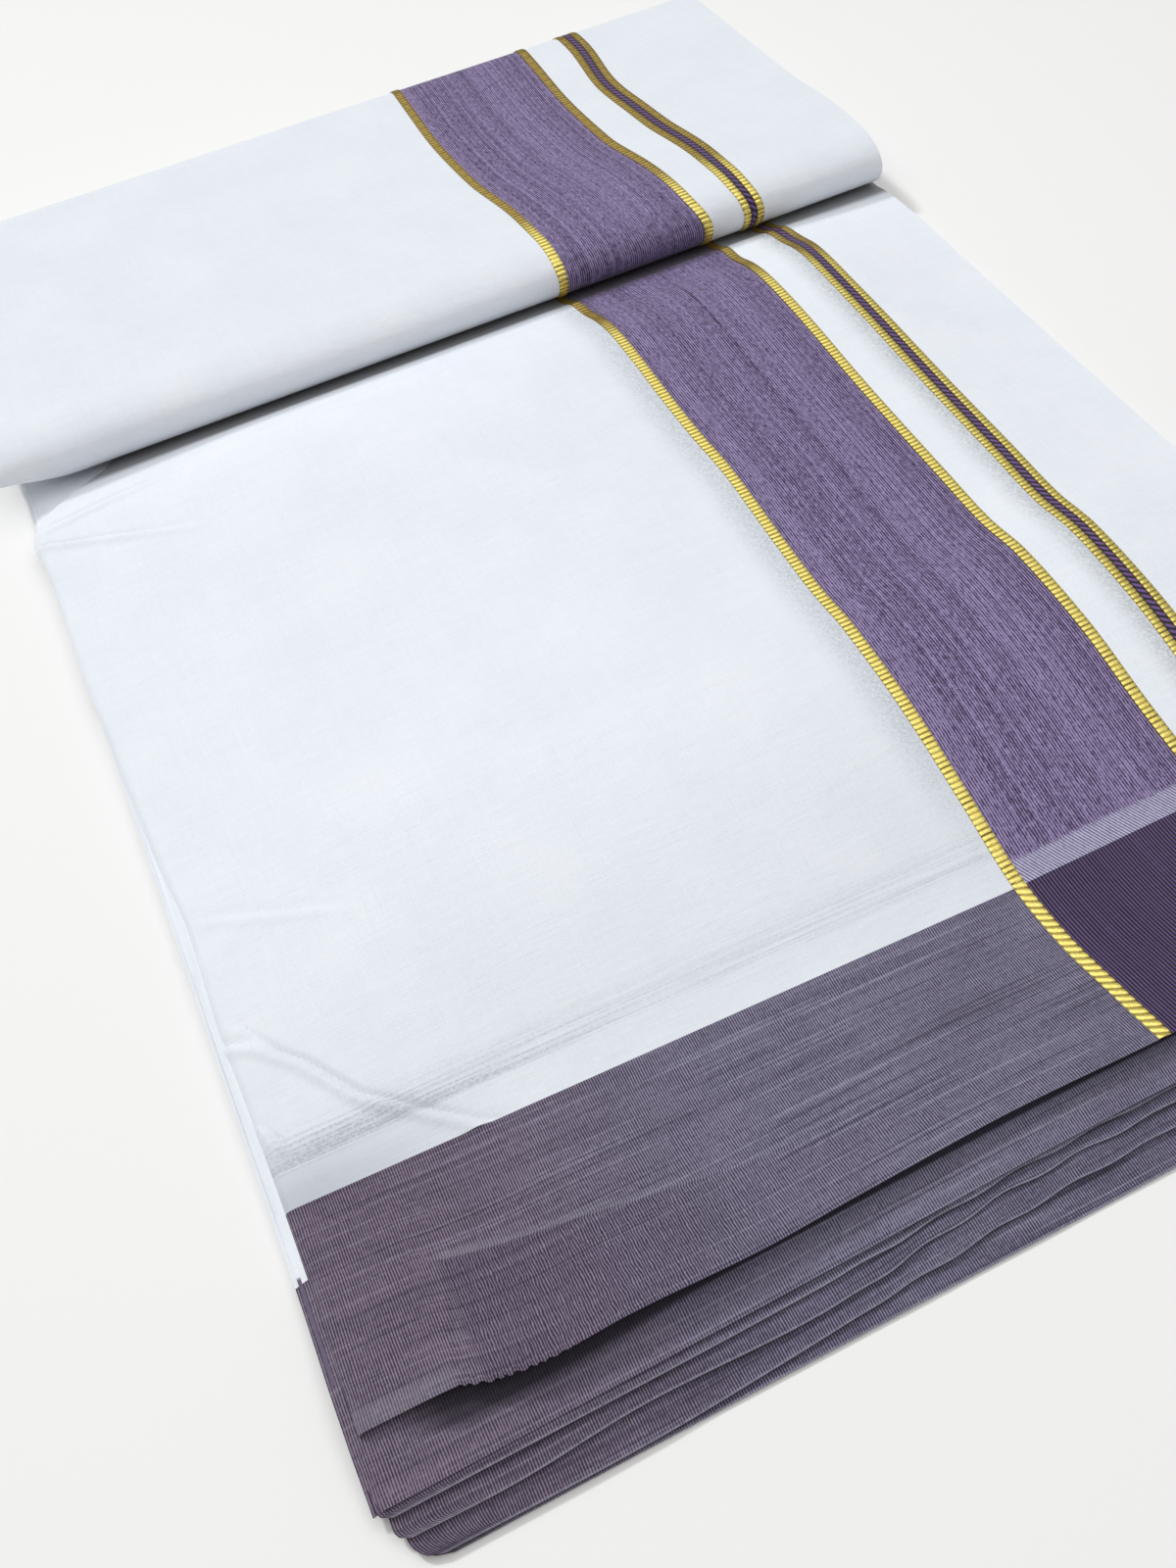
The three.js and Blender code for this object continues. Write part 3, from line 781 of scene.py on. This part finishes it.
# Each end: its height, how far in its left side is, its rounded corner, how high it waves, how
# far its edge wanders where it is crumpled, and the y of the edge by distance across
LEAVES = [
    {
        "name": "leaf_3", "top": 4.2, "left": 1.6, "corner": 3, "wave": 0.5, "crumple": 0.3,
        "ends": [(0, -231.8), (40, -231.5), (100, -230.5), (150, -228), (200, -227.5), (320, -228.5)],
    },
    {
        "name": "leaf_4", "top": 3.1, "left": 3.6, "corner": 3, "wave": 0.5, "crumple": 0.4,
        "ends": [(0, -236.5), (26, -236.5), (55, -234.6), (98, -235), (150, -230.5), (320, -231)],
    },
    {
        "name": "leaf_5", "top": 2, "left": 5.4, "corner": 6, "wave": 0.3, "crumple": 0.3,
        "ends": [(0, -241.6), (50, -241.4), (80, -240), (111, -238), (161, -235), (320, -233)],
    },
    {
        "name": "leaf_6", "top": 0.8, "left": 6, "corner": 7, "wave": 0.15, "crumple": 0,
        "ends": [(0, -242), (100, -241.8), (200, -241.6), (320, -241)],
    },
]


def leaf_face(leaf, order, length):
    def face(across, along):
        y = mix(read(leaf["ends"], ("across", "y"), "y", across), LEAF_BACK, along / length)
        corner = leaf["corner"]
        inward = np.clip(1 - (along / corner), 0, 1)
        round_off = corner * (1 - np.sqrt(1 - inward**2)) * np.clip(1 - across / 20, 0, 1)
        x = LEFT_EDGE + leaf["left"] + round_off + across * (WIDTH + 1 - leaf["left"]) / WIDTH
        crumpled = ease((across - 95) / 25) * (1 - ease((across - 170) / 30))
        wander = np.sin(across / 3.3 + 2 * order) * crumpled * (1 - ease(along / 4))
        y = y + leaf["crumple"] * wander
        swell = leaf["wave"] * np.sin(across / 21 + 2.1 * order) * np.cos(along / 9 + order)
        ripple = 0.18 * np.sin(across / 5.3 + 4 * order) * ease((across - 90) / 40)
        z = leaf["top"] + (swell + ripple * (1 - ease((across - 190) / 40))) * ease(along / 4 + 0.4)
        return x, y, np.maximum(z, 0.3)

    return face


for order, leaf in enumerate(LEAVES):
    length = LEAF_BACK - leaf["ends"][0][1]
    laid = leaf_face(leaf, order, length)
    piece = lay_sheet(leaf["name"], (0, WIDTH), (0, length), (2, 1), laid)
    weave = border_weave(f"{leaf['name']}_weave", seed=40 + 5 * order, tone_and_painted_light=0.9, cut=0.7)
    piece.data.materials.append(weave)
    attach(piece, "root")
    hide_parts(leaf["name"])
    length * MM


# Hidden layers of the strip: six folded layers under the second sheet, in one rounded solid
# whose sides show three folded edges. Its tail turns up inside the pack's back fold.

LIPS = 3  # folded edges that each side shows
BORDER_TONE = (0.13, 0.11, 0.165, 1)
CORE_LEFT, CORE_RIGHT = LEFT_EDGE + 1.8, LEFT_EDGE + WIDTH + 0.6
CORE_END = 239.4  # y of its upturned tail
PACK_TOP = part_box("pack_field")[1].z / MM
PACK_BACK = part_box("pack_field")[1].y / MM
PACK_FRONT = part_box("pack_field")[0].y / MM
PACK_UNDERSIDE = 5.8  # height of the pack's front fold over the floor
BACK_CENTRE = PACK_BACK - PACK_TOP / 2
FLOOR_LAP = 222  # y where the lowest layer leaves the floor


def pack_shift(y):
    """The pack lies askew: how far to the side it lies at a y."""
    share = np.clip((y - 103) / (PACK_BACK - 103), 0, 1)
    return -7 * share * ease((y - UNDER_PACK) / 30)


def core_ring(turn, y):
    """A point of the strip's section: its bottom, right side, top and left side in turn."""
    left = CORE_LEFT + pack_shift(y)
    right = CORE_RIGHT + pack_shift(y)
    radius = PACK_TOP / 2 - 1.3
    beyond = np.clip(y - BACK_CENTRE, 0, radius)
    bottom = np.where(y > FLOOR_LAP, PACK_TOP / 2 - np.sqrt(radius**2 - beyond**2), 0.0)

    def top(x):
        under_second = strip_height(x, y) - SECOND_DROP - 0.6
        return mix(under_second, PACK_UNDERSIDE + 0.8, ease((y - UNDER_PACK + 8) / 8))

    quarter = turn * 4
    on_bottom = np.clip(quarter, 0, 1)
    on_right = np.clip(quarter - 1, 0, 1)
    on_top = np.clip(quarter - 2, 0, 1)
    on_left = np.clip(quarter - 3, 0, 1)
    x = mix(left, right, on_bottom) - (right - left) * on_top
    right_lip = np.abs(np.sin(np.pi * LIPS * on_right)) ** 0.5 * (on_right > 0) * (on_right < 1)
    left_lip = np.abs(np.sin(np.pi * LIPS * on_left)) ** 0.5 * (on_left > 0) * (on_left < 1)
    wander = 0.5 * np.sin(y / 33 + 5 * np.floor(LIPS * on_right) + 1) - 0.5
    x = x + right_lip * (0.4 + wander * 0.6)
    wander = 0.5 * np.sin(y / 27 + 4 * np.floor(LIPS * on_left)) - 0.5
    x = x - left_lip * (0.4 + wander * 0.6)
    z = np.where(
        quarter < 1,
        bottom,
        np.where(
            quarter < 2,
            mix(bottom, top(right), on_right),
            np.where(quarter < 3, top(x), mix(top(left), bottom, on_left)),
        ),
    )
    return x, y, z


bpy.ops.object.select_all(action="DESELECT")
bpy.ops.mesh.primitive_grid_add(x_subdivisions=180, y_subdivisions=160, size=1)
core = bpy.context.object
core.name = "cloth_hidden_strip_layers"
flat = np.zeros(len(core.data.vertices) * 3)
core.data.vertices.foreach_get("co", flat)
flat = flat.reshape(-1, 3) + 0.5
# The sides take a quarter of the ring's columns each, and the faces the rest
ring = np.interp(flat[:, 0], [0, 0.3, 0.5, 0.8, 1], [0, 0.25, 0.5, 0.75, 1])
length = mix(LEAF_BACK + 0.3, CORE_END, flat[:, 1])
corner = np.zeros(len(core.data.loops), int)
core.data.loops.foreach_get("vertex_index", corner)
uv = np.stack([ring * 2 * WIDTH * MM, length * MM], axis=1)
core.data.uv_layers[0].data.foreach_set("uv", uv[corner].ravel())
core.data.vertices.foreach_set("co", (np.stack(core_ring(ring, length), axis=1) * MM).ravel())
bpy.ops.object.mode_set(mode="EDIT")
bpy.ops.mesh.select_all(action="SELECT")
bpy.ops.mesh.remove_doubles(threshold=1e-6)
bpy.ops.mesh.select_all(action="DESELECT")
bpy.ops.mesh.select_non_manifold()
bpy.ops.mesh.fill_holes(sides=0)
bpy.ops.mesh.select_all(action="SELECT")
bpy.ops.mesh.normals_make_consistent(inside=False)
bpy.ops.object.mode_set(mode="OBJECT")
bpy.ops.object.shade_smooth_by_angle(angle=np.radians(50))


def core_shade(finish):
    """The near end is in the layers' own end borders."""
    return 1 - finish.along.step(SECOND_END + BORDER + 1, SECOND_END + BORDER + 2), BORDER_TONE


core.data.materials.append(white_cotton("core_cotton", core_shade))
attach(core, "root")
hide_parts("hidden_strip_layers")


# Pack, outer turn: the strip's lowest layer, turned up round the back and over the top, with
# the cloth's other side out. The woven zones lean a little as it goes back.

PACK_LEFT = -159
PACK_WIDTH = 323
LOWER_CENTRE, UPPER_CENTRE = 107, 115  # y where the front fold's lower and upper bends start
FRONT_Z = PACK_TOP - 8.5  # height of the front fold's foremost line
# The lines by their y on the pack: how far they lean to the side
PACK_LINES_COLUMNS = ("y", "band_left", "band_right", "stripe")
PACK_LINES = [
    (98, 0, 0, 0),
    (107, -0.4, -3, -2),
    (122, -1.6, -4.4, -3.1),
    (151, -4.1, -7.7, -5),
    (170, -5.2, -8.2, -6.2),
    (193, -5.4, -7.9, -7.6),
    (221, -3.6, -6.2, -3.6),
    (242, -2, -5, -3.6),
]
PACK_BAND = (199, 251.4)
PACK_BAND_LEFT, PACK_BAND_RIGHT, PACK_STRIPE = 197.3, 253.1, 271.1


def arc(y, z, along_y, along_z, start, end):
    angle = np.linspace(start, end, 48) * np.pi
    return np.stack([y + along_y * np.cos(angle), z + along_z * np.sin(angle)])


def pack_turn(inset):
    """The outline of a turn from its front underside, over the top and down round the back."""
    back = PACK_TOP / 2 - inset
    lower = (LOWER_CENTRE - PACK_FRONT - inset, FRONT_Z - PACK_UNDERSIDE - inset)
    upper = (UPPER_CENTRE - PACK_FRONT - inset, PACK_TOP - FRONT_Z - inset)
    top_y = np.linspace(UPPER_CENTRE, BACK_CENTRE, 60)
    sag = 0.6 * np.sin(np.pi * (top_y - UPPER_CENTRE) / (BACK_CENTRE - UPPER_CENTRE)) ** 2
    return np.concatenate(
        [
            arc(LOWER_CENTRE, FRONT_Z, *lower, 1.5, 1),
            arc(UPPER_CENTRE, FRONT_Z, *upper, 1, 0.5)[:, 1:],
            np.stack([top_y, PACK_TOP - inset - sag])[:, 1:-1],
            arc(BACK_CENTRE, PACK_TOP / 2, back, back, 0.5, -0.5),
        ],
        axis=1,
    )


outline = np.concatenate(
    [[[UNDER_PACK], [PACK_UNDERSIDE]], pack_turn(0), [[FLOOR_LAP], [0]]], axis=1
)
run = np.concatenate([[0], np.cumsum(np.hypot(*np.diff(outline, axis=1)))])
PACK_RUN = run[-1]


def pack_face(across, along, lift=0.0):
    """Where a point of the pack's outer turn lies, lifted off it by so much."""
    y = np.interp(along, run, outline[0])
    z = np.interp(along, run, outline[1])
    slope_y = np.interp(along + 0.5, run, outline[0]) - np.interp(along - 0.5, run, outline[0])
    slope_z = np.interp(along + 0.5, run, outline[1]) - np.interp(along - 0.5, run, outline[1])
    size = np.hypot(slope_y, slope_z)
    shown = np.where(z > PACK_UNDERSIDE, y, UNDER_PACK)
    places = [0, PACK_BAND_LEFT, PACK_BAND_RIGHT, PACK_STRIPE, PACK_WIDTH]
    lines = [read(PACK_LINES, PACK_LINES_COLUMNS, c, y) for c in PACK_LINES_COLUMNS[1:]]
    above = ease((z - PACK_UNDERSIDE) / 6)
    shifts = [0 * y, *[line * above for line in lines], 0 * y]
    lean = 0 * y
    for i in range(4):
        inside = (across >= places[i]) & (across <= places[i + 1])
        share = (across - places[i]) / (places[i + 1] - places[i])
        lean = np.where(inside, mix(shifts[i], shifts[i + 1], share), lean)
    # The front's lower left corner rounds up
    corner = np.clip(1 - across / 26, 0, 1) ** 2
    raised = np.where((z < FRONT_Z) & (y < 130), 0.9 * corner, 0)
    swell = 0.35 * np.sin(across / 37 + 1) * np.sin(along / 29) * ease((z - 15) / 6)
    x = PACK_LEFT + across + pack_shift(y) + lean
    z_out = mix(z, FRONT_Z, raised) + slope_y / size * lift + swell
    return x, y - slope_z / size * lift, np.maximum(z_out, LAYER)


PACK_ZARI = {"zari_left": (195.6, 199), "zari_right": (251.4, 254.8)}
PACK_STRIPE_ZARI = {"stripe_zari_left": (267.2, 269.8), "stripe_zari_right": (272.4, 275)}
PACK_CORD = (269.8, 272.4)
PACK_GOLD = gold_thread("pack_gold_thread", dark_reflection_from=62)
pack_lines = {}
for line, edges in {**PACK_ZARI, **PACK_STRIPE_ZARI}.items():
    piece = lay_sheet(f"pack_{line}", edges, (0, PACK_RUN), (0.6, 0.3), pack_face, ribs(edges))
    piece.data.materials.append(PACK_GOLD)
    pack_lines[line] = piece
pack_cord = lay_sheet(
    "pack_stripe_cord", PACK_CORD, (0, PACK_RUN), (0.5, 0.35), pack_face, links(PACK_CORD)
)
pack_cord.data.materials.append(CORD_THREAD)
pack_lines["stripe_cord"] = pack_cord
for line, piece in pack_lines.items():
    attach(piece, "root")
    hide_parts(f"pack_{line}")


def pack_shade(finish):
    """Painted shade: the turn a little greyer past its front fold, where it lies flat over the top.
    """
    return finish.along.step(30, 70) * 0.11, GREY


pack_zones = {
    "pack_field": (
        (0, PACK_ZARI["zari_left"][0]),
        white_cotton("pack_cotton", pack_shade),
        "white_cotton",
        [],
    ),
    "pack_band": (
        PACK_BAND,
        mauve_weave("pack_band_weave"),
        "mauve_band",
        [pack_lines["zari_left"], pack_lines["zari_right"]],
    ),
    "pack_gap": (
        (PACK_ZARI["zari_right"][1], PACK_STRIPE_ZARI["stripe_zari_left"][0]),
        white_cotton("pack_gap_cotton", pack_shade),
        "white_cotton",
        [],
    ),
    "pack_margin": (
        (PACK_STRIPE_ZARI["stripe_zari_right"][1], PACK_WIDTH),
        white_cotton("pack_margin_cotton", pack_shade),
        "white_cotton",
        [pack_lines[k] for k in ("stripe_zari_left", "stripe_cord", "stripe_zari_right")],
    ),
}
for name, (edges, weave, slot, on_it) in pack_zones.items():
    piece = lay_sheet(name, edges, (0, PACK_RUN), (2.2, 1.6), pack_face)
    piece.data.materials.append(weave)
    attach(piece, "root")
    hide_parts(name)
    (edges[1] - edges[0]) * MM


# Hidden turns of the pack: the rest of the strip, rolled up flat. Each turn is four folded
# panels thick, and their edges show at the pack's ends as nested bends.

TURN = 1.56  # thickness of the eight layers
PANELS = 4
TURNS = 4.4
FIRST_INSET = 1.4  # how far the rolled strip starts inside the outer turn
ROLL_FRONT, ROLL_BACK = 112, 230  # y where the bends start
FRONT_REACH, BACK_REACH = 13, 11  # how far the outermost bends stand out past that
TIGHTEST = 0.2  # the least that an inner bend stands out
UP, OVER, DOWN = 0.1, 0.45, 0.65  # share of a turn by which it is up, over the top and down


def spiral(offset):
    """The path of one panel of the rolled strip, from the outer turn inwards."""
    angle = np.concatenate([np.linspace(k, k + 1, 97)[:-1] for k in range(5)])
    angle = angle[angle < TURNS]
    inset = FIRST_INSET + offset + TURN * angle
    share = angle % 1
    middle = (PACK_TOP + PACK_UNDERSIDE) / 2
    half = np.maximum((PACK_TOP - PACK_UNDERSIDE) / 2 - inset, 0.15)
    front = np.maximum(FRONT_REACH - inset, TIGHTEST)
    back = np.maximum(BACK_REACH - inset, TIGHTEST)
    rising = np.pi * (0.5 + np.clip(share / UP, 0, 1) / 2)
    falling = np.pi * np.clip((share - OVER) / (DOWN - OVER), 0, 1)
    stretches = [share < UP, share < OVER, share < DOWN]
    on_top = mix(ROLL_FRONT, ROLL_BACK, (share - UP) / (OVER - UP))
    below = mix(ROLL_BACK, ROLL_FRONT, (share - DOWN) / (1 - DOWN))
    y = np.select(
        stretches,
        [ROLL_FRONT - front * np.sin(rising), on_top, ROLL_BACK + back * np.sin(falling)],
        below,
    )
    z = np.select(
        stretches,
        [middle - half * np.cos(rising), middle + half, middle + half * np.cos(falling)],
        middle - half,
    )
    return y, z


def panel_face(path_y, path_z, distance, panel):
    def face(across, along):
        y = np.interp(along, distance, path_y)
        z = np.interp(along, distance, path_z)
        left = 1.2 + 0.6 * np.sin(along / 47 + 2.4 * panel)
        right = 1.2 + 0.6 * np.sin(along / 53 + 1.7 * panel + 2)
        x = PACK_LEFT + mix(left, PACK_WIDTH - right, across / PACK_WIDTH) + pack_shift(y)
        return x, y, z

    return face


turns = []
for panel in range(PANELS):
    path_y, path_z = spiral(panel * TURN / PANELS)
    distance = np.concatenate([[0], np.cumsum(np.hypot(np.diff(path_y), np.diff(path_z)))])
    laid = panel_face(path_y, path_z, distance, panel)
    reach = (0, distance[-1])
    turns.append(
        lay_sheet(f"turn_{panel}", (0, PACK_WIDTH), reach, (80, 2.2), laid, thickness=0.3)
    )
bpy.ops.object.select_all(action="DESELECT")
for turn in turns:
    turn.select_set(True)
bpy.context.view_layer.objects.active = turns[0]
bpy.ops.object.join()
rolled = bpy.context.object
rolled.name = "cloth_hidden_pack_turns"
rolled.data.materials.append(white_cotton("turns_cotton"))
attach(rolled, "root")
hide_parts("hidden_pack_turns")
